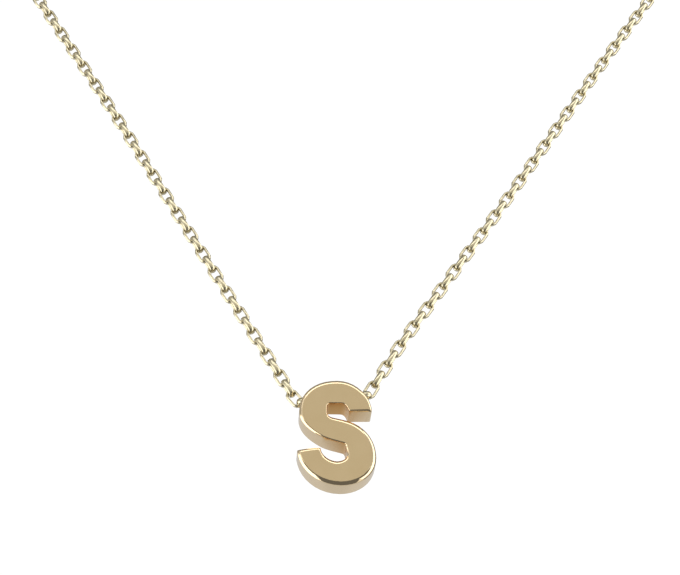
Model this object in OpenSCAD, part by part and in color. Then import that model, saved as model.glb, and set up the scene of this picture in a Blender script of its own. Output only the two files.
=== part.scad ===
// An initial pendant: a thick block letter with softly rounded edges, threaded through
// its upper bowl on a fine cable chain that closes behind the neck in a spring ring.
// Millimetres. The origin is the middle of the spring ring, where the loop hangs on the
// nape. The front faces -Y, +X is to the right as seen from the front and +Z is up.

/* [Letter] */
// Width of the letter across its bowls
letter_w = 6.2; // [5:0.1:8]
// Height of the letter
letter_h = 8.9; // [7:0.1:12]
// Thickness of the letter from its face to its back
letter_t = 2.8; // [2:0.1:4]
// Radius of the rounding round the outer edge of the face and of the back
edge_r = 0.5; // [0.2:0.05:0.6]

/* [Bore] */
// Gap between the chain and the wall of the bore that it runs through
bore_gap = 0.06; // [0.04:0.01:0.12]
// Metal left between the bore and the letter's upper counter
bore_wall = 0.22; // [0.1:0.01:0.3]

/* [Chain] */
// Width of the chain over its links
chain_d = 1.0; // [0.8:0.05:1.2]
// Gap between the chain's ends and the rings that hold them
end_gap = 0.1; // [0.05:0.05:0.3]

/* [Clasp] */
// Outside diameter of the spring ring
clasp_d = 5.5; // [5:0.1:8]
// Diameter of the spring ring's tube
clasp_tube = 1.2; // [0.8:0.1:1.6]
// Outside diameter of the small loop on the spring ring
loop_d = 2.2; // [2:0.1:3]
// Outside diameter of the jump ring that the spring ring holds
ring_d = 3.2; // [3:0.1:4.5]
// Diameter of the wire of the small loop and of the jump ring
wire_d = 0.5; // [0.4:0.05:0.6]
// Gap between the jump ring and the spring ring where they hang together
ring_gap = 0.05; // [0.03:0.01:0.1]

/* [Hidden] */

gold = [0.84, 0.72, 0.47];
round_fn = 48;

// The letter's outline, seen from the front and run anticlockwise, so that the metal is
// always on the left. Places are shares of letter_w and letter_h from the letter's
// middle, headings are degrees from +X, and a reach is the share of the way to the next
// knot over which the heading holds. The edge is the share of edge_r rounded off there.
KX = 0; KZ = 1; ARRIVE = 2; LEAVE = 3; REACH_IN = 4; REACH_OUT = 5; EDGE = 6;
outline_knots = [
    //   x       z    arrive leave  in    out   edge
    [ 0.446,  0.199,    0,   90,  0.33, 0.33, 0.45],  // upper end, outer corner
    [ 0.000,  0.500,  180,  180,  0.40, 0.44, 1.00],  // top of the upper bowl
    [-0.497,  0.199,  270,  270,  0.40, 0.36, 1.00],  // left of the upper bowl
    [-0.205, -0.045,  332,  332,  0.33, 0.33, 0.35],  // under the spine
    [ 0.055, -0.102,  344,  344,  0.33, 0.40, 0.30],  // lower counter, top right
    [ 0.088, -0.137,  280,  280,  0.40, 0.33, 0.30],
    [ 0.114, -0.203,  276,  276,  0.33, 0.40, 0.45],
    [-0.005, -0.267,  180,  180,  0.36, 0.36, 0.75],  // floor of the lower counter
    [-0.221, -0.146,   97,  181,  0.36, 0.33, 0.50],  // lower end, inner corner
    [-0.521, -0.170,  192,  276,  0.33, 0.35, 0.70],  // lower end, outer corner
    [ 0.045, -0.495,    0,    0,  0.41, 0.40, 0.75],  // bottom of the lower bowl
    [ 0.500, -0.225,   90,   90,  0.40, 0.36, 1.00],  // right of the lower bowl
    [ 0.242,  0.083,  152,  152,  0.36, 0.33, 0.80],  // over the spine
    [-0.068,  0.143,  168,  168,  0.33, 0.40, 0.60],  // upper counter, bottom left
    [-0.139,  0.192,   90,   90,  0.40, 0.33, 0.25],
    [-0.139,  0.238,   90,   90,  0.33, 0.40, 0.20],
    [-0.095,  0.272,    0,    0,  0.40, 0.33, 0.20],  // roof of the upper counter
    [ 0.048,  0.272,    0,    0,  0.33, 0.40, 0.20],
    [ 0.149,  0.199,  292,    0,  0.36, 0.33, 0.30],  // upper end, inner corner
];
roof_left = outline_knots[16];
// Knots at the lower end's inner corner and at the upper end's, where the ends begin. The
// two ends are straight
LOWER_END = 8;
UPPER_END = 18;
// Points on the outline from one knot to the next, but one along an end
knot_steps = 6;
// Angles round an edge, from the flat face or back to the side
edge_turns = [0, 30, 60, 90];

// The chain's route: where it bends, and how far before and after the point the bend
// reaches. The left side runs from the spring ring down to the letter, the right side
// from the letter up to the jump ring. The stretch through the letter is hung between.
route = [
    //  x      y       z   reach
    [ -16,    -0.5,    0,    7],
    [ -33,    -5,      0,   10],
    [ -50,   -18,     -2,   11],
    [ -62,   -37,     -6,   10],
    [ -65,   -56,    -15,    9],
    [ -57,   -67,    -27,    8],
    [ -30.4, -75.9,  -74,    5],
    [ -22.5, -78.5,  -87.4,  5],
    [ -11.4, -82.2, -107.2,  4],
    [   2.9, -83,   -111.4,  2],
    [  12.4, -80.2,  -96.8,  5],
    [  22.6, -77.1,  -80.4,  5],
    [  29,   -75.2,  -70.6,  5],
    [  56,   -67,    -28,    8],
    [  64.5, -56,    -15,    9],
    [  62,   -37,     -6,   10],
    [  50,   -18,     -2,   11],
    [  33,    -5,      0,   10],
    [  16,    -0.5,    0,    7],
];
// Bends of the route on the left side
left_bends = 9;
// Where the letter hangs: the middle of its bore, and how far the bore rises to +X
hang_at = [-2.5, -84, -116.8];
hang_rise = 7;
// The chain's bends beside the letter: how far outside the left of the upper bowl the
// left one lies, the right one's place as a share of letter_w, and their reach
bend_clear = 0.1;
bend_right = 0.4;
bend_reach = 0.6;
// Sides of the chain's tube, and the turn from one of its sections to the next
tube_sides = 8;
section_turn = 11;

bore_r = chain_d / 2 + bore_gap;
bore_up = (roof_left[KZ] * letter_h + bore_wall + bore_r / cos(hang_rise)
    - roof_left[KX] * letter_w * tan(hang_rise));
letter_at = hang_at - [0, 0, bore_up];

clasp_mid_r = (clasp_d - clasp_tube) / 2;
loop_mid_r = (loop_d - wire_d) / 2;
loop_x = -(clasp_mid_r + clasp_tube / 2 + loop_mid_r - wire_d / 4);
ring_mid_r = (ring_d - wire_d) / 2;
ring_x = clasp_mid_r - clasp_tube / 2 - ring_gap - wire_d / 2 + ring_mid_r;

// Cubic curve through a, b, c and d at the share t
function curve_at(a, b, c, d, t) =
    pow(1 - t, 3) * a + 3 * t * pow(1 - t, 2) * b + 3 * t * t * (1 - t) * c + pow(t, 3) * d;

function knot_place(k) = [k[KX] * letter_w, k[KZ] * letter_h];

function heading(angle) = [cos(angle), sin(angle)];

// Points of the outline from knot k to knot n, each with its share of edge_r
function outline_piece(k, n, steps) =
    let (a = knot_place(k), d = knot_place(n), reach = norm(d - a))
    let (b = a + heading(k[LEAVE]) * k[REACH_OUT] * reach)
    let (c = d - heading(n[ARRIVE]) * n[REACH_IN] * reach)
    [for (s = [0 : steps - 1])
        let (t = s / steps, p = curve_at(a, b, c, d, t))
        [p[0], p[1], k[EDGE] * (1 - t) + n[EDGE] * t]];

function outline_points() =
    [for (i = [0 : len(outline_knots) - 1])
        let (next = outline_knots[(i + 1) % len(outline_knots)])
        let (steps = i == LOWER_END || i == UPPER_END ? 1 : knot_steps)
        each outline_piece(outline_knots[i], next, steps)];

function unit(v) = v / norm(v);

// Direction into the metal from the outline point p, long enough to keep corners mitred
function inward(before, p, after) =
    let (u = unit([p[0] - before[0], p[1] - before[1]]))
    let (v = unit([after[0] - p[0], after[1] - p[1]]))
    [-u[1] - v[1], u[0] + v[0]] / (1 + u * v);

// One ring of the letter: side is -1 towards the face and 1 towards the back
function letter_ring(points, side, turn) =
    let (n = len(points))
    [for (i = [0 : n - 1])
        let (p = points[i], r = p[2] * edge_r)
        let (inset = r * (1 - sin(turn)) * inward(points[(i + n - 1) % n], p, points[(i + 1) % n]))
        [p[0] + inset[0], side * (letter_t / 2 - r * (1 - cos(turn))), p[1] + inset[1]]];

// Faces round the sides of a stack of rings of n points each
function side_faces(rings, n) =
    [for (k = [0 : rings - 2], i = [0 : n - 1])
        [k * n + i, k * n + (i + 1) % n, (k + 1) * n + (i + 1) % n, (k + 1) * n + i]];

// Triangles of the letter's flat face, which cross the stroke from its side a to its side b,
// from the upper end down to the lower one. Each step takes the shorter way across
function flat_faces(points, a, b) =
    let (a_end = LOWER_END * knot_steps, b_end = a_end + 1)
    a == a_end && b == b_end ? []
    : b == b_end || (a < a_end && norm(points[a + 1] - points[b]) < norm(points[a] - points[b - 1]))
        ? [[a, b, a + 1], each flat_faces(points, a + 1, b)]
        : [[a, b, b - 1], each flat_faces(points, a, b - 1)];

// The chain's route with its bends beside the letter and its ends at the rings
function hung_point(x) = hang_at + [x, 0, x * tan(hang_rise)];

chain_route = [
    [loop_x - loop_mid_r - wire_d / 2 - end_gap, 0, 0, 0],
    for (i = [0 : left_bends - 1]) route[i],
    [each hung_point(-letter_w / 2 - bend_clear), bend_reach],
    [each hung_point(bend_right * letter_w), bend_reach],
    for (i = [left_bends : len(route) - 1]) route[i],
    [ring_x + ring_mid_r + wire_d / 2 + end_gap, 0, 0, 0],
];

function place(p) = [p[0], p[1], p[2]];

// The middles of the chain's sections round the bend at p
function bend_sections(before, p, after) =
    let (u = unit(place(p) - place(before)), v = unit(place(after) - place(p)))
    let (a = place(p) - u * p[3], b = place(p) + v * p[3])
    let (steps = ceil(acos(u * v) / section_turn))
    [for (s = [0 : steps])
        let (t = s / steps)
        pow(1 - t, 2) * a + 2 * t * (1 - t) * place(p) + t * t * b];

function route_sections(r) =
    [place(r[0]),
     for (i = [1 : len(r) - 2]) each bend_sections(r[i - 1], r[i], r[i + 1]),
     place(r[len(r) - 1])];

function along(c, i) =
    i == 0 ? unit(c[1] - c[0])
    : i == len(c) - 1 ? unit(c[i] - c[i - 1])
    : unit(unit(c[i] - c[i - 1]) + unit(c[i + 1] - c[i]));

// v turned square to the direction d
function square_to(v, d) = unit(v - (v * d) * d);

// A tube of radius r through the middles c, closed at both ends
module swept_tube(c, r) {
    n = len(c);
    sides = [for (i = 0, s = square_to([0, 0, 1], along(c, 0)); i < n;
                  i = i + 1, s = i < n ? square_to(s, along(c, i)) : s) s];
    points = [for (i = [0 : n - 1], k = [0 : tube_sides - 1])
        let (turn = 360 * (k + 0.5) / tube_sides, across = cross(sides[i], along(c, i)))
        c[i] + r * (cos(turn) * sides[i] + sin(turn) * across)];
    last = (n - 1) * tube_sides;
    ends = [[for (k = [tube_sides - 1 : -1 : 0]) k], [for (k = [0 : tube_sides - 1]) last + k]];
    polyhedron(points, concat(side_faces(n, tube_sides), ends));
}

module torus(mid_r, wire) {
    rotate_extrude($fn = round_fn)
        translate([mid_r, 0])
            circle(d = wire, $fn = round_fn);
}

// The letter, with the bore that the chain runs through
module initial() {
    points = outline_points();
    n = len(points);
    rings = [
        for (turn = edge_turns) letter_ring(points, -1, turn),
        for (i = [len(edge_turns) - 1 : -1 : 0]) letter_ring(points, 1, edge_turns[i]),
    ];
    front = flat_faces(rings[0], 0, n - 1);
    back = [for (f = front) [f[0], f[2], f[1]] + (len(rings) - 1) * [n, n, n]];
    color(gold)
        difference() {
            translate(letter_at)
                polyhedron([for (ring = rings) each ring],
                           concat(front, side_faces(len(rings), n), back));
            translate(hang_at)
                rotate([0, 90 - hang_rise, 0])
                    cylinder(r = bore_r, h = 2 * letter_w, center = true, $fn = round_fn);
        }
}

// The whole chain as a closed tube as wide as its links
module chain() {
    color(gold)
        swept_tube(route_sections(chain_route), chain_d / 2);
}

// The spring ring, flat on the nape, with the small loop that the chain's left end holds
module clasp() {
    color(gold)
        rotate([90, 0, 0])
            union() {
                torus(clasp_mid_r, clasp_tube);
                translate([loop_x, 0, 0])
                    torus(loop_mid_r, wire_d);
            }
}

// The jump ring on the chain's right end, hung through the spring ring
module end_ring() {
    color(gold)
        translate([ring_x, 0, 0])
            torus(ring_mid_r, wire_d);
}

initial();
chain();
clasp();
end_ring();
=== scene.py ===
import math
from collections import namedtuple

import bmesh
import bpy
from mathutils import Matrix, Vector
from mathutils.geometry import interpolate_bezier


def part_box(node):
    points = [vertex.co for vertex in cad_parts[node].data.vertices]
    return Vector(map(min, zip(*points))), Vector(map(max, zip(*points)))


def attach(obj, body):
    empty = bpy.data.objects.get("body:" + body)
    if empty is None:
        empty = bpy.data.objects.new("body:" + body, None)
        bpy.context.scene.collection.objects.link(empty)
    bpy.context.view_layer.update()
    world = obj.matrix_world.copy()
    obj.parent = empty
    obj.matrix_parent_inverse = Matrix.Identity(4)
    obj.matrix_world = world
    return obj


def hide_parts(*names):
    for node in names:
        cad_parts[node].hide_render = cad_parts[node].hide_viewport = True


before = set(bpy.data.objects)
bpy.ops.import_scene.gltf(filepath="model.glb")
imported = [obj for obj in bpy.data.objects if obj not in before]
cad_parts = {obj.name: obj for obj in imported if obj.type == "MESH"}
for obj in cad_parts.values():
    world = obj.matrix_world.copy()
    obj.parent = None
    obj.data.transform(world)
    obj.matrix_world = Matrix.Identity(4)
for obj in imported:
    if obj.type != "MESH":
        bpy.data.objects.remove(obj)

# A letter pendant in polished yellow gold on a fine cable chain. Lengths in the tables are
# millimetres, as on a jeweller's drawing, and MM makes them metres.
MM = 0.001
QUARTER_TURN = math.radians(90)
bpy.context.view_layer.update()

# The camera, at the photograph's place and angle
PHOTO_WIDTH_PX = 680
FOCAL_LENGTH_PX = 2000
SENSOR_WIDTH = 36.0
CAMERA_PLACE = Vector((-9.41, -235.84, -172.75)) * MM
CAMERA_PITCH = math.radians(23.4)
CAMERA_TURN = math.radians(-2.7)
# How near and how far off it sees, in metres
NEAREST_SEEN, FURTHEST_SEEN = 0.01, 20


def make_camera():
    camera = bpy.data.objects.new("camera", bpy.data.cameras.new("camera"))
    bpy.context.scene.collection.objects.link(camera)
    camera.data.sensor_width = SENSOR_WIDTH
    camera.data.lens = SENSOR_WIDTH * FOCAL_LENGTH_PX / PHOTO_WIDTH_PX
    camera.data.clip_start, camera.data.clip_end = NEAREST_SEEN, FURTHEST_SEEN
    camera.location = CAMERA_PLACE
    camera.rotation_euler = (QUARTER_TURN + CAMERA_PITCH, 0, CAMERA_TURN)
    bpy.context.scene.camera = camera


make_camera()


# The route of the chain: where it bends, and how far before and after the point the bend
# reaches. It runs from the spring ring down the left side, through the letter, and up the
# right side to the jump ring.
ROUTE_LEFT = [
    (-16, -0.5, 0, 7), (-33, -5, 0, 10), (-50, -18, -2, 11), (-62, -37, -6, 10),
    (-65, -56, -15, 9), (-57, -67, -27, 8), (-30.4, -75.9, -74, 5),
    (-22.5, -78.5, -87.4, 5), (-11.4, -82.2, -107.2, 4),
]
ROUTE_RIGHT = [
    (2.9, -83, -111.4, 2), (12.4, -80.2, -96.8, 5), (22.6, -77.1, -80.4, 5),
    (29, -75.2, -70.6, 5), (56, -67, -28, 8), (64.5, -56, -15, 9), (62, -37, -6, 10),
    (50, -18, -2, 11), (33, -5, 0, 10), (16, -0.5, 0, 7),
]
# Points along each bend, and how far towards the corner its curve's handles reach
BEND_POINTS, BEND_HANDLE = 24, 2 / 3

LETTER_WIDTH, LETTER_HEIGHT, LETTER_THICKNESS = 6.2, 8.9, 2.8
EDGE_RADIUS = 0.5
# The letter hangs with the middle of its bore at HANG_AT, and the bore rises to the right
HANG_AT = Vector((-2.5, -84, -116.8))
HANG_RISE = math.radians(7)
BORE_RADIUS, BORE_SIDES = 0.56, 48
# The metal between the bore and the roof of the upper counter
BORE_WALL = 0.22
# The chain's bends beside the letter: how far to the right of the bore's middle they lie, and
# their reach
BEND_LEFT, BEND_RIGHT, BEND_REACH = -3.2, 2.48, 0.6

# The outline of the letter seen from the front, anticlockwise. Places are shares of its
# width and height from its middle, headings are degrees from the right, a reach is the
# share of the way to the next knot over which the heading holds, the edge is the share of
# the edge radius that is rounded off there, and cast is how far the buff fails to
# reach the wall, from 0 where it is polished to 1 where it is left as cast. The same share
# paints shade on the wall: a darker orange tint, mostly in the hollows of the counters.
Knot = namedtuple("Knot", "x z arrive leave reach_in reach_out edge cast")
OUTLINE = [Knot(*row) for row in (
    # x, z, arrive, leave, reach in, reach out, edge, cast and painted shade
    (0.446, 0.199, 0, 90, 0.33, 0.33, 0.55, 0.05),       # upper end, outer corner
    (0.000, 0.500, 180, 180, 0.40, 0.44, 0.80, 0),       # top of the upper bowl
    (-0.497, 0.199, 270, 270, 0.40, 0.36, 0.70, 0),      # left of the upper bowl
    (-0.205, -0.045, 332, 332, 0.33, 0.33, 0.35, 0.15),  # under the spine
    (0.080, -0.107, 344, 344, 0.33, 0.40, 0.30, 0.8),    # lower counter, top right
    (0.112, -0.140, 280, 280, 0.40, 0.33, 0.30, 0.8),
    (0.126, -0.203, 274, 274, 0.33, 0.40, 0.45, 0.5),
    (-0.005, -0.267, 180, 180, 0.36, 0.36, 0.75, 0),     # floor of the lower counter
    (-0.221, -0.146, 97, 181, 0.36, 0.33, 0.50, 0),      # lower end, inner corner
    (-0.521, -0.170, 192, 276, 0.33, 0.35, 0.70, 0),     # lower end, outer corner
    (0.045, -0.495, 0, 0, 0.41, 0.40, 0.75, 0),          # bottom of the lower bowl
    (0.500, -0.225, 90, 90, 0.40, 0.36, 1.00, 0),        # right of the lower bowl
    (0.242, 0.083, 152, 152, 0.36, 0.33, 0.80, 0),       # over the spine
    (-0.068, 0.143, 168, 168, 0.33, 0.40, 0.60, 0.8),    # upper counter, bottom left
    (-0.139, 0.192, 90, 90, 0.40, 0.33, 0.25, 1),
    (-0.139, 0.238, 90, 90, 0.33, 0.40, 0.20, 1),
    (-0.095, 0.272, 0, 0, 0.40, 0.33, 0.20, 1),          # roof of the upper counter
    (0.048, 0.272, 0, 0, 0.33, 0.40, 0.20, 1),
    (0.149, 0.199, 292, 0, 0.36, 0.33, 0.30, 0.7),       # upper end, inner corner
)]
ROOF_LEFT = OUTLINE[16]
# Knots at the corners of the letter's two ends
END_CORNERS = (0, 8, 9, 18)
# Steps along the outline from one knot to the next, round an edge and round a corner
STEPS_PER_PIECE, EDGE_STEPS, CORNER_STEPS = 10, 6, 4
# The radius of those corners, and how near to them the outline has no other point
CORNER_ARC, CORNER_CLEAR = 0.1, 0.34
# Points nearer together than this are one
TOUCHING = 0.0005
# Edges at which the surface turns more than this stay sharp
SHARP_ANGLE = math.radians(28)
# Gold left as cast, with painted shade: the attribute that says how far it is, the tint
# that paints shade there, and the extra roughness
CAST_AND_SHADE = "cast_and_painted_shade"
PAINTED_SHADE_TINT, CAST_ROUGHNESS = (0.70, 0.46, 0.13), 0.2

# A link of the chain: flat wire bent into an oval, thin round the hole and deep from the
# link's one side to the other
LINK_WIDTH, LINK_LENGTH, LINK_PITCH = 1.1, 1.78, 1.15
WIRE_THICKNESS, WIRE_DEPTH = 0.25, 0.44
LINK_SIDES, WIRE_SIDES = 12, 6
# How far the round end of a link reaches out, against a half circle
LINK_STRETCH = 1.1
# The links nearest the letter that turn their holes to the front: how far along the chain
# each stands from the middle of the bore, and the way and the angle that they face
LEFT_LINK, RIGHT_LINK = 5.73, 3.08
FACING = Vector((0, -1, -0.43)).normalized()
LINK_TURN = math.radians(-12)
# Beyond those links, the chain twists over the last part of the way to each ring, from
# this share of it on
TWIST_FROM = 0.5
# The wire of the clasp's small loop and of the end ring
FITTING_WIRE = 0.5

# The clouds and the ripples in the gold: their detail, how many ripples cross a cloud, the
# part of the clouds' range over which the polish changes, and its finest and coarsest
# roughness against the mean
CLOUD_DETAIL, RIPPLE_DETAIL, RIPPLES_PER_CLOUD = 3, 4, 4
CLOUDS_FROM, CLOUDS_TO = 0.3, 0.7
FINEST, COARSEST = 0.8, 1.25


def new_piece(name, bm, material):
    """A finished mesh as an object at the origin, with its place in its mesh."""
    mesh = bpy.data.meshes.new(name)
    bm.to_mesh(mesh)
    bm.free()
    mesh.materials.append(material)
    piece = bpy.data.objects.new(name, mesh)
    bpy.context.scene.collection.objects.link(piece)
    return piece


# Materials

def gold(name, base, pale, roughness, grain, bump):
    """Polished yellow gold. Its tone clouds a little from base to pale, the polish is finer
    in some places than in others, and the surface is not quite even. Grain is the size of
    the clouds in millimetres, and bump the height of the unevenness."""
    material = bpy.data.materials.new(name)
    material.use_nodes = True
    nodes, links = material.node_tree.nodes, material.node_tree.links
    shader = nodes["Principled BSDF"]
    shader.inputs["Metallic"].default_value = 1.0
    place = nodes.new("ShaderNodeTexCoord")

    clouds = nodes.new("ShaderNodeTexNoise")
    clouds.inputs["Scale"].default_value = 1 / (grain * MM)
    clouds.inputs["Detail"].default_value = CLOUD_DETAIL
    links.new(place.outputs["Object"], clouds.inputs["Vector"])

    tone = nodes.new("ShaderNodeMix")
    tone.data_type = "RGBA"
    tone.inputs["A"].default_value = (*base, 1)
    tone.inputs["B"].default_value = (*pale, 1)
    links.new(clouds.outputs["Fac"], tone.inputs["Factor"])
    links.new(tone.outputs["Result"], shader.inputs["Base Color"])

    polish = nodes.new("ShaderNodeMapRange")
    polish.inputs["From Min"].default_value = CLOUDS_FROM
    polish.inputs["From Max"].default_value = CLOUDS_TO
    polish.inputs["To Min"].default_value = roughness * FINEST
    polish.inputs["To Max"].default_value = roughness * COARSEST
    links.new(clouds.outputs["Fac"], polish.inputs["Value"])
    links.new(polish.outputs["Result"], shader.inputs["Roughness"])

    ripple = nodes.new("ShaderNodeTexNoise")
    ripple.inputs["Scale"].default_value = RIPPLES_PER_CLOUD / (grain * MM)
    ripple.inputs["Detail"].default_value = RIPPLE_DETAIL
    links.new(place.outputs["Object"], ripple.inputs["Vector"])
    uneven = nodes.new("ShaderNodeBump")
    uneven.inputs["Strength"].default_value = 1
    uneven.inputs["Distance"].default_value = bump * MM
    links.new(ripple.outputs["Fac"], uneven.inputs["Height"])
    links.new(uneven.outputs["Normal"], shader.inputs["Normal"])
    return material


def roughen_and_paint_shade(material):
    """Roughens the gold wherever the piece says that it is left as cast, and darkens it there
    with a tint of painted shade.
    """
    nodes, links = material.node_tree.nodes, material.node_tree.links
    shader = nodes["Principled BSDF"]
    cast = nodes.new("ShaderNodeAttribute")
    cast.attribute_name = CAST_AND_SHADE

    # This tint is painted shade: it darkens the walls of the counters to a deep orange
    shade_tint = nodes.new("ShaderNodeMix")
    shade_tint.data_type = "RGBA"
    shade_tint.blend_type = "MULTIPLY"
    shade_tint.inputs["B"].default_value = (*PAINTED_SHADE_TINT, 1)
    links.new(cast.outputs["Fac"], shade_tint.inputs["Factor"])
    links.new(shader.inputs["Base Color"].links[0].from_socket, shade_tint.inputs["A"])
    links.new(shade_tint.outputs["Result"], shader.inputs["Base Color"])

    rough = nodes.new("ShaderNodeMath")
    rough.operation = "MULTIPLY_ADD"
    rough.inputs[1].default_value = CAST_ROUGHNESS
    links.new(cast.outputs["Fac"], rough.inputs[0])
    links.new(shader.inputs["Roughness"].links[0].from_socket, rough.inputs[2])
    links.new(rough.outputs["Value"], shader.inputs["Roughness"])


letter_gold = gold(
    "letter_gold", base=(0.90, 0.71, 0.44), pale=(0.96, 0.77, 0.50),
    roughness=0.11, grain=1.5, bump=0.003)
roughen_and_paint_shade(letter_gold)
# The chain's gold is a darker, greyer copy of the letter's: painted shade for the chain's darker
# look under this lighting
chain_gold_painted_shade = gold(
    "chain_gold_painted_shade", base=(0.67, 0.60, 0.40), pale=(0.80, 0.72, 0.51),
    roughness=0.27, grain=0.8, bump=0.004)
fittings_gold = gold(
    "fittings_gold", base=(0.92, 0.71, 0.38), pale=(0.98, 0.80, 0.48),
    roughness=0.14, grain=1.5, bump=0.004)


# The letter

def heading(degrees):
    return Vector((math.cos(math.radians(degrees)), 0, math.sin(math.radians(degrees))))


def letter_middle():
    """The bore lies its wall's thickness above the roof of the upper counter."""
    rise = ROOF_LEFT.z * LETTER_HEIGHT - ROOF_LEFT.x * LETTER_WIDTH * math.tan(HANG_RISE)
    return HANG_AT - Vector((0, 0, rise + BORE_WALL + BORE_RADIUS / math.cos(HANG_RISE)))


def place_of(knot):
    return Vector((knot.x * LETTER_WIDTH, 0, knot.z * LETTER_HEIGHT))


def end_corners():
    return [place_of(OUTLINE[k]) for k in END_CORNERS]


def outline_piece(i):
    """Points from knot i to the next, each with its share of the edge radius and its share of
    as-cast finish and painted shade.
    """
    knot, following = OUTLINE[i], OUTLINE[(i + 1) % len(OUTLINE)]
    start, end = place_of(knot), place_of(following)
    way = (end - start).length
    points = interpolate_bezier(
        start, start + heading(knot.leave) * knot.reach_out * way,
        end - heading(following.arrive) * following.reach_in * way, end, STEPS_PER_PIECE + 1)
    finish = Vector((knot.edge, knot.cast))
    change = Vector((following.edge, following.cast)) - finish
    return [
        (point, *(finish + change * step / STEPS_PER_PIECE))
        for step, point in enumerate(points[:-1])
        if step == 0 or min((point - corner).length for corner in end_corners()) > CORNER_CLEAR
    ]


def inward(start, end):
    """The direction into the letter, square to the way from start to end."""
    way = (end - start).normalized()
    return Vector((-way.z, 0, way.x))


# A point on the letter's edge: its place on the outline, how it moves for each millimetre
# that the outline shrinks, the way out from the middle of the arc round its corner, that
# arc's radius, the radius of the edge, and how far the wall is left as cast and painted with
# shade
EdgePoint = namedtuple("EdgePoint", "place way_in out arc radius cast")


def edge_points():
    """The outline's points, with an arc of points at each corner of the two ends."""
    outline = [point for i in range(len(OUTLINE)) for point in outline_piece(i)]
    corners = end_corners()
    edge = []
    for k, (point, share, cast) in enumerate(outline):
        first = inward(outline[k - 1][0], point)
        last = inward(point, outline[(k + 1) % len(outline)][0])
        way_in = (first + last) / (1 + first.dot(last))
        arc, steps = (CORNER_ARC, CORNER_STEPS) if point in corners else (0, 0)
        for step in range(steps + 1):
            out = -first.slerp(last, step / max(steps, 1))
            edge.append(EdgePoint(point, way_in, out, arc, share * EDGE_RADIUS, cast))
    return edge


def letter_blank():
    """The letter without its bore: one ring of points grown from front to back, round the
    front edge, along the wall and round the back edge, and closed at both faces."""
    turns = [QUARTER_TURN * step / EDGE_STEPS for step in range(EDGE_STEPS + 1)]
    front = [(-1, 1 - math.sin(turn), 1 - math.cos(turn)) for turn in turns]
    back = [(1, inset, depth) for side, inset, depth in reversed(front)]
    edge = edge_points()
    bm = bmesh.new()
    cast_and_painted_shade = bm.verts.layers.float.new(CAST_AND_SHADE)
    ring = [bm.verts.new() for point in edge]
    rim = [bm.edges.new(pair) for pair in zip(ring, ring[1:] + ring[:1])]
    bm.faces.new(ring)
    for level, (side, inset, depth) in enumerate(front + back):
        if level:
            grown = set(bmesh.ops.extrude_edge_only(bm, edges=rim)["geom"])
            ring = [next(e.other_vert(v) for e in v.link_edges if e.other_vert(v) in grown)
                    for v in ring]
            rim = [bm.edges.get(pair) for pair in zip(ring, ring[1:] + ring[:1])]
        for vert, point in zip(ring, edge):
            # The wall's share of as-cast roughness and of painted shade
            vert[cast_and_painted_shade] = point.cast if inset == 0 else 0
            shrink = inset * point.radius
            place = point.place + point.way_in * max(shrink, point.arc)
            place += point.out * max(point.arc - shrink, 0)
            place.y = side * (LETTER_THICKNESS / 2 - depth * point.radius)
            vert.co = (letter_middle() + place) * MM
    bm.faces.new(ring)
    bmesh.ops.remove_doubles(bm, verts=bm.verts, dist=TOUCHING * MM)
    bmesh.ops.recalc_face_normals(bm, faces=bm.faces)
    return bm


def bore_drill():
    bm = bmesh.new()
    bmesh.ops.create_cone(
        bm, cap_ends=True, segments=BORE_SIDES, radius1=BORE_RADIUS * MM,
        radius2=BORE_RADIUS * MM, depth=2 * LETTER_WIDTH * MM)
    lie = Matrix.Rotation(QUARTER_TURN - HANG_RISE, 4, "Y")
    bmesh.ops.transform(bm, matrix=Matrix.Translation(HANG_AT * MM) @ lie, verts=bm.verts)
    return bm


def finished(piece):
    """Applies the piece's modifiers to its mesh."""
    graph = bpy.context.evaluated_depsgraph_get()
    mesh = bpy.data.meshes.new_from_object(piece.evaluated_get(graph))
    piece.modifiers.clear()
    piece.data = mesh


def make_letter():
    letter = new_piece("block_letter", letter_blank(), letter_gold)
    drill = new_piece("drill", bore_drill(), letter_gold)
    bore = letter.modifiers.new("bore", "BOOLEAN")
    bore.object = drill
    bore.solver = "EXACT"
    finished(letter)
    bpy.data.objects.remove(drill)
    letter.data.shade_smooth()
    letter.data.set_sharp_from_angle(angle=SHARP_ANGLE)
    flat = letter.modifiers.new("flat_faces", "WEIGHTED_NORMAL")
    flat.keep_sharp = True
    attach(letter, "letter")
    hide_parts("initial")


# The chain

def hung(x):
    """The point of the chain in the letter, x to the right of the bore's middle."""
    return HANG_AT + Vector((x, 0, x * math.tan(HANG_RISE)))


def chain_line(route):
    """Points close together along the middle of the chain, from the route's start by way of
    its bends to its end."""
    line = [Vector(route[0][:3])]
    for before, bend, after in zip(route, route[1:], route[2:]):
        *corner, reach = bend
        corner = Vector(corner)
        coming = (corner - Vector(before[:3])).normalized()
        going = (Vector(after[:3]) - corner).normalized()
        first, last = corner - coming * reach, corner + going * reach
        line += interpolate_bezier(
            first, first.lerp(corner, BEND_HANDLE), last.lerp(corner, BEND_HANDLE), last,
            BEND_POINTS)
    return line + [Vector(route[-1][:3])]


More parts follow.
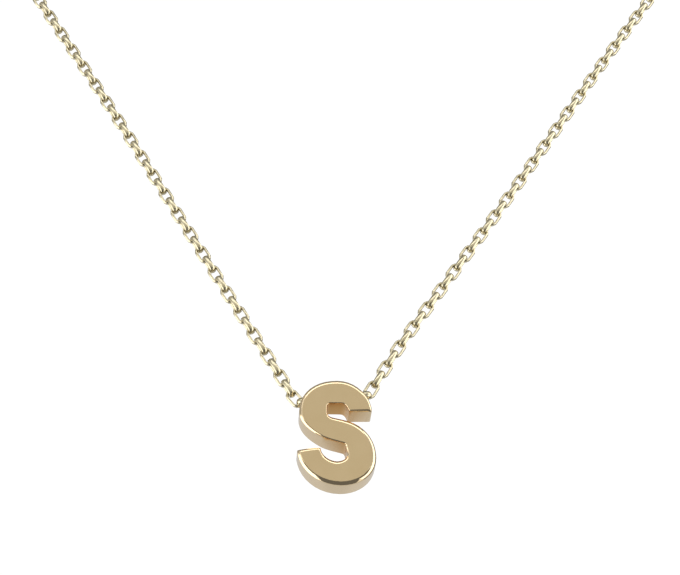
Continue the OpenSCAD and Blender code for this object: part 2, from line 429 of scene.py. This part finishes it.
def link_shape():
    """One link, lying along X in the XY plane: a ring of wire pulled out to an oval."""
    bm = bmesh.new()
    wire = bmesh.ops.create_circle(bm, segments=WIRE_SIDES, radius=WIRE_THICKNESS / 2)["verts"]
    deepen = WIRE_DEPTH / 2 / max(vert.co.x for vert in wire)
    ring = (LINK_WIDTH - WIRE_THICKNESS) / 2
    stand = Matrix.Translation((0, ring, 0)) @ Matrix.Rotation(QUARTER_TURN, 4, "Y")
    bmesh.ops.transform(bm, matrix=stand @ Matrix.Diagonal((deepen, 1, 1, 1)), verts=wire)
    bmesh.ops.rotate(bm, matrix=Matrix.Rotation(math.pi / LINK_SIDES, 3, "Z"), verts=wire)
    bmesh.ops.spin(
        bm, geom=bm.verts[:] + bm.edges[:], axis=(0, 0, 1), cent=(0, 0, 0),
        angle=2 * math.pi, steps=LINK_SIDES, use_merge=True)
    bmesh.ops.remove_doubles(bm, verts=bm.verts, dist=TOUCHING)
    for vert in bm.verts:
        vert.co.x += (LINK_STRETCH - 1) * ring * vert.co.x / vert.co.xy.length
    pull = (LINK_LENGTH - WIRE_THICKNESS) / 2 - ring * LINK_STRETCH
    for side in (-1, 1):
        end = [v for v in bm.verts if v.co.x * side > 0]
        bmesh.ops.translate(bm, vec=(side * pull, 0, 0), verts=end)
    bmesh.ops.recalc_face_normals(bm, faces=bm.faces)
    for face in bm.faces:
        face.smooth = True
    mesh = bpy.data.meshes.new("link")
    bm.to_mesh(mesh)
    bm.free()
    return mesh


def length_of(line):
    return sum((b - a).length for a, b in zip(line, line[1:]))


def link_places(line, first, last):
    """The place and direction of each link, evenly from one distance along the line to the
    other."""
    count = round((last - first) / LINK_PITCH)
    places, done, k = [], 0.0, 0
    for i in range(count + 1):
        distance = first + (last - first) * i / count
        while k < len(line) - 2 and done + (line[k + 1] - line[k]).length < distance:
            done += (line[k + 1] - line[k]).length
            k += 1
        way = (line[k + 1] - line[k]).normalized()
        places.append((line[k] + way * (distance - done), way))
    return places


def turned(places, side, goal, begin):
    """Each link's place, direction and the side that it faces. The first faces the side given
    and every other one stands a quarter turn from its neighbours. They turn as little as the
    line allows, but from the share begin of the way on they twist until the last faces the
    goal."""
    sides = []
    for place, way in places:
        side = (side - way * side.dot(way)).normalized()
        sides.append(side)
    count = len(places) - 1
    twist = math.atan2(way.dot(side.cross(goal)), side.dot(goal)) - QUARTER_TURN * (count % 2)
    # A link looks the same after half a turn, so the twist is a quarter turn at most
    twist = (twist + QUARTER_TURN) % (2 * QUARTER_TURN) - QUARTER_TURN
    return [
        (place, way, Matrix.Rotation(
            QUARTER_TURN * (i % 2) + twist * max(0, i / count - begin) / (1 - begin),
            3, way) @ side)
        for i, ((place, way), side) in enumerate(zip(places, sides))
    ]


def faced(way):
    """The side that a link with its hole to the front faces."""
    square = (FACING - way * FACING.dot(way)).normalized()
    return Matrix.Rotation(LINK_TURN, 3, way) @ square


def all_links(start, end):
    """The links from the clasp to the end ring. The one in the clasp's upright loop lies flat,
    and the one in the flat end ring stands upright."""
    left = chain_line([(*start, 0), *ROUTE_LEFT, (*hung(BEND_LEFT), BEND_REACH), (*HANG_AT, 0)])
    right = chain_line([(*HANG_AT, 0), (*hung(BEND_RIGHT), BEND_REACH), *ROUTE_RIGHT, (*end, 0)])
    line, middle = left + right[1:], length_of(left)
    stops = (0, middle - LEFT_LINK, middle + RIGHT_LINK, length_of(line))
    before, within, after = (link_places(line, *pair) for pair in zip(stops, stops[1:]))
    enters, leaves = faced(within[0][1]), faced(within[-1][1])
    links = turned(before[::-1], enters, Vector((0, 0, 1)), TWIST_FROM)[::-1]
    links += turned(within, enters, leaves, 0)[1:-1]
    return links + turned(after, leaves, Vector((0, 1, 0)), TWIST_FROM)


def make_chain():
    # The first link hangs in the clasp's small loop and the last one in the end ring
    hold = Vector((FITTING_WIRE - LINK_PITCH / 2, 0, 0))
    start = Vector((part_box("clasp")[0].x / MM, 0, 0)) + hold
    end = Vector((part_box("end_ring")[1].x / MM, 0, 0)) - hold
    bm = bmesh.new()
    link = link_shape()
    for place, way, side in all_links(start, end):
        bm.from_mesh(link)
        bm.verts.ensure_lookup_table()
        turn = Matrix((way, side.cross(way), side)).transposed().to_4x4()
        bmesh.ops.transform(
            bm, matrix=Matrix.Scale(MM, 4) @ Matrix.Translation(place) @ turn,
            verts=bm.verts[-len(link.vertices):])
    bpy.data.meshes.remove(link)
    chain = new_piece("cable_links", bm, chain_gold_painted_shade)
    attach(chain, "necklace")
    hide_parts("chain")


def finish_fittings():
    for name in ("clasp", "end_ring"):
        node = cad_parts[name]
        node.data.materials.clear()
        node.data.materials.append(fittings_gold)


# The studio

# Boards round the letter that show only in the metal: the angles at which each one's middle
# stands, the angles that it spans, its brightness and the colour of its light. Azimuth 0 is
# in front of the letter, 90 to its right and 180 behind it. Where two overlap, the one
# named first is seen.
PLAIN, WARM = (1, 1, 1), (1, 0.96, 0.84)
CARDS = [
    # name, azimuth, elevation, width, height, brightness, colour
    ("low_card", 0, -75, 74, 106, 0.14, PLAIN),
    ("front_card", 0, 12, 64, 52, 0.56, WARM),
    ("front_top_light", 0, 50, 120, 24, 2.0, PLAIN),
    ("right_front_card", 45, 22, 30, 44, 0.5, PLAIN),
    ("right_light", 81, 5, 44, 100, 2.0, PLAIN),
    ("right_back_card", 126, 14, 42, 104, 0.28, PLAIN),
    ("left_front_card", -42, 24, 24, 36, 0.7, PLAIN),
    ("left_card", -112, 32, 100, 46, 0.4, PLAIN),
    ("left_low_light", -100, -26, 86, 60, 2.0, PLAIN),
    ("back_card", 180, 12, 80, 56, 0.62, PLAIN),
    ("back_low_card", 180, -38, 84, 44, 0.57, PLAIN),
    ("low_front_card", 2, -23, 116, 38, 0.14, PLAIN),
    ("top_card", 180, 71, 120, 94, 0.3, PLAIN),
]
# In metres: how far off the nearest card stands, how much further each next one does, and
# half the side of a card before it gets its size
CARD_DISTANCE, CARD_STEP, CARD_HALF = 0.5, 0.012, 0.5
FLOOR_HEIGHT, FLOOR_HALF = -0.9, 3
FLOOR_COLOUR, FLOOR_ROUGHNESS = (0.9, 0.9, 0.9), 0.9
STUDIO_BRIGHTNESS = 1.05


def glow(name, brightness, colour):
    material = bpy.data.materials.new(name)
    material.use_nodes = True
    nodes = material.node_tree.nodes
    nodes.remove(nodes["Principled BSDF"])
    light = nodes.new("ShaderNodeEmission")
    light.inputs["Color"].default_value = (*colour, 1)
    light.inputs["Strength"].default_value = brightness
    material.node_tree.links.new(light.outputs[0], nodes["Material Output"].inputs["Surface"])
    return material


def card(distance, name, azimuth, elevation, width, height, brightness, colour):
    bm = bmesh.new()
    bmesh.ops.create_grid(bm, x_segments=1, y_segments=1, size=CARD_HALF)
    board = new_piece(name, bm, glow(name, brightness, colour))
    turn, rise = math.radians(azimuth), math.radians(elevation)
    toward = Vector((
        math.sin(turn) * math.cos(rise), -math.cos(turn) * math.cos(rise), math.sin(rise)))
    board.location = letter_middle() * MM + toward * distance
    board.rotation_euler = toward.to_track_quat("Z", "Y").to_euler()
    board.scale = (2 * distance * math.tan(math.radians(width / 2)),
                   2 * distance * math.tan(math.radians(height / 2)), 1)
    board.visible_camera = board.visible_diffuse = board.visible_shadow = False


def make_studio():
    scene = bpy.context.scene
    scene.view_settings.view_transform = "Standard"
    world = bpy.data.worlds.new("studio")
    world.use_nodes = True
    light = world.node_tree.nodes["Background"]
    light.inputs["Color"].default_value = (*PLAIN, 1)
    light.inputs["Strength"].default_value = STUDIO_BRIGHTNESS
    scene.world = world

    bm = bmesh.new()
    bmesh.ops.create_grid(bm, x_segments=1, y_segments=1, size=FLOOR_HALF)
    bmesh.ops.translate(bm, vec=(0, 0, FLOOR_HEIGHT), verts=bm.verts)
    pale = bpy.data.materials.new("pale_floor")
    pale.use_nodes = True
    shader = pale.node_tree.nodes["Principled BSDF"]
    shader.inputs["Base Color"].default_value = (*FLOOR_COLOUR, 1)
    shader.inputs["Roughness"].default_value = FLOOR_ROUGHNESS
    floor = new_piece("floor", bm, pale)

    for i, row in enumerate(CARDS):
        card(CARD_DISTANCE + i * CARD_STEP, *row)


make_letter()
make_chain()
finish_fittings()
make_studio()
